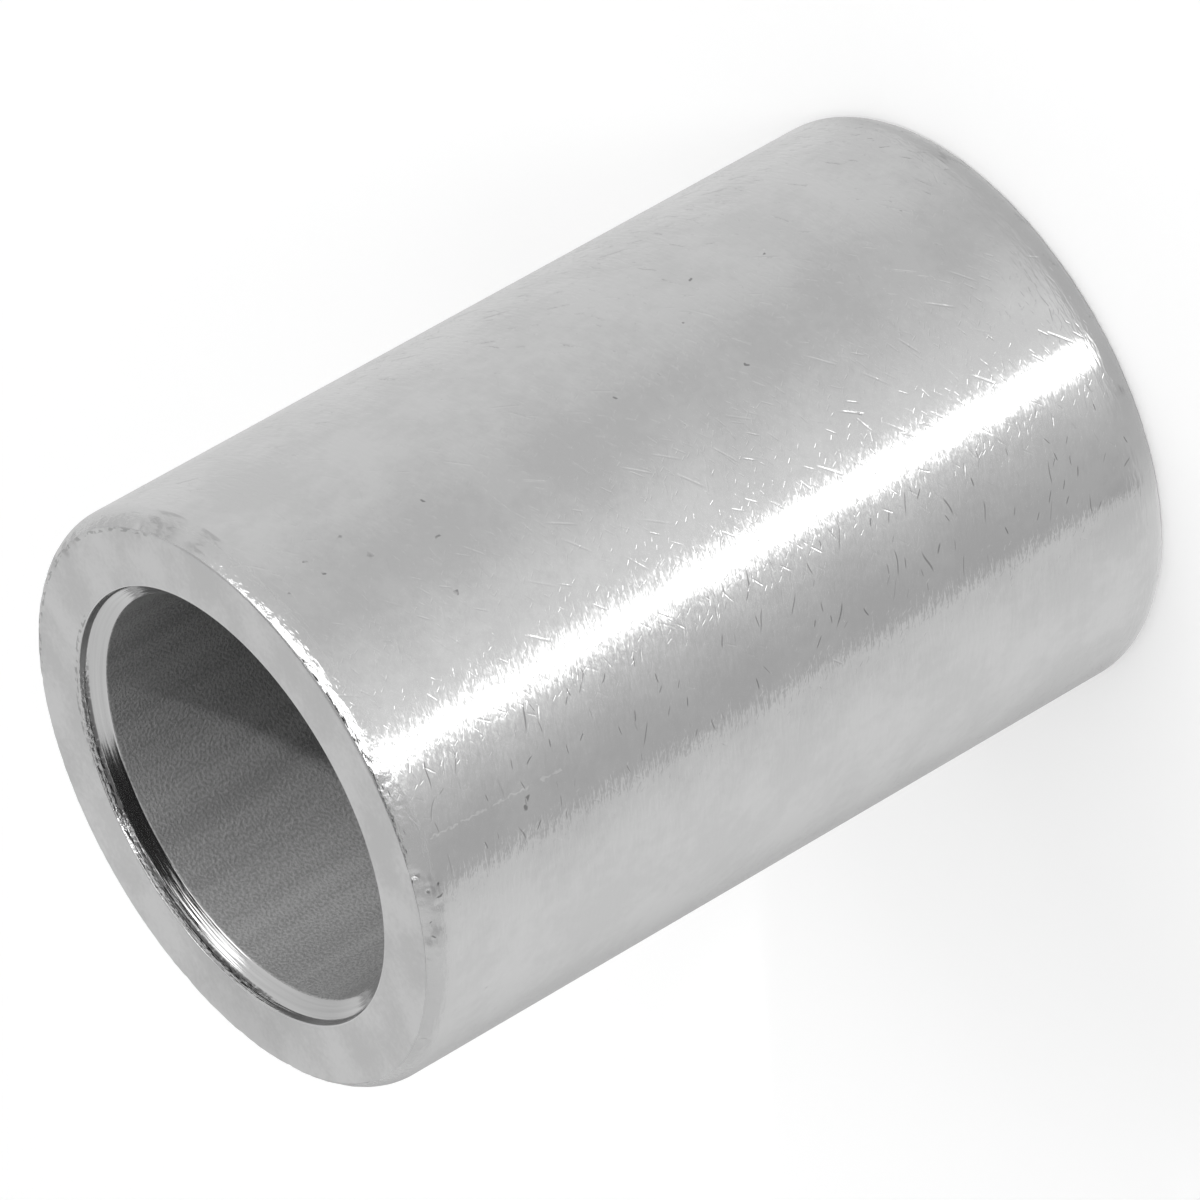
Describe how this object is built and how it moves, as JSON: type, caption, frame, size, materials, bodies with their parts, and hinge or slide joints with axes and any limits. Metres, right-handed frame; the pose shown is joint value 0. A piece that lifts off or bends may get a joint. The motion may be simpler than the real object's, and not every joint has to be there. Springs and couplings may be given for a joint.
{
  "type": "spacer sleeve",
  "caption": "Short round steel spacer sleeve with a clear through bore, countersunk mouths and rounded rims; slips over a screw and holds two parts a set distance apart.",
  "frame": {"origin": "centre of the lower end face, on the bore's axis", "axes": "+Z along the bore's axis, from the end face that the sleeve stands on to the other; the sleeve is round, so X and Y are free"},
  "size_m": [0.012, 0.012, 0.018],
  "materials": {
    "zinc_steel": "bright zinc plate on steel, tumbled, with fine scratches"
  },
  "bodies": {
    "root": {"spacer": "zinc_steel"}
  },
  "joints": []
}
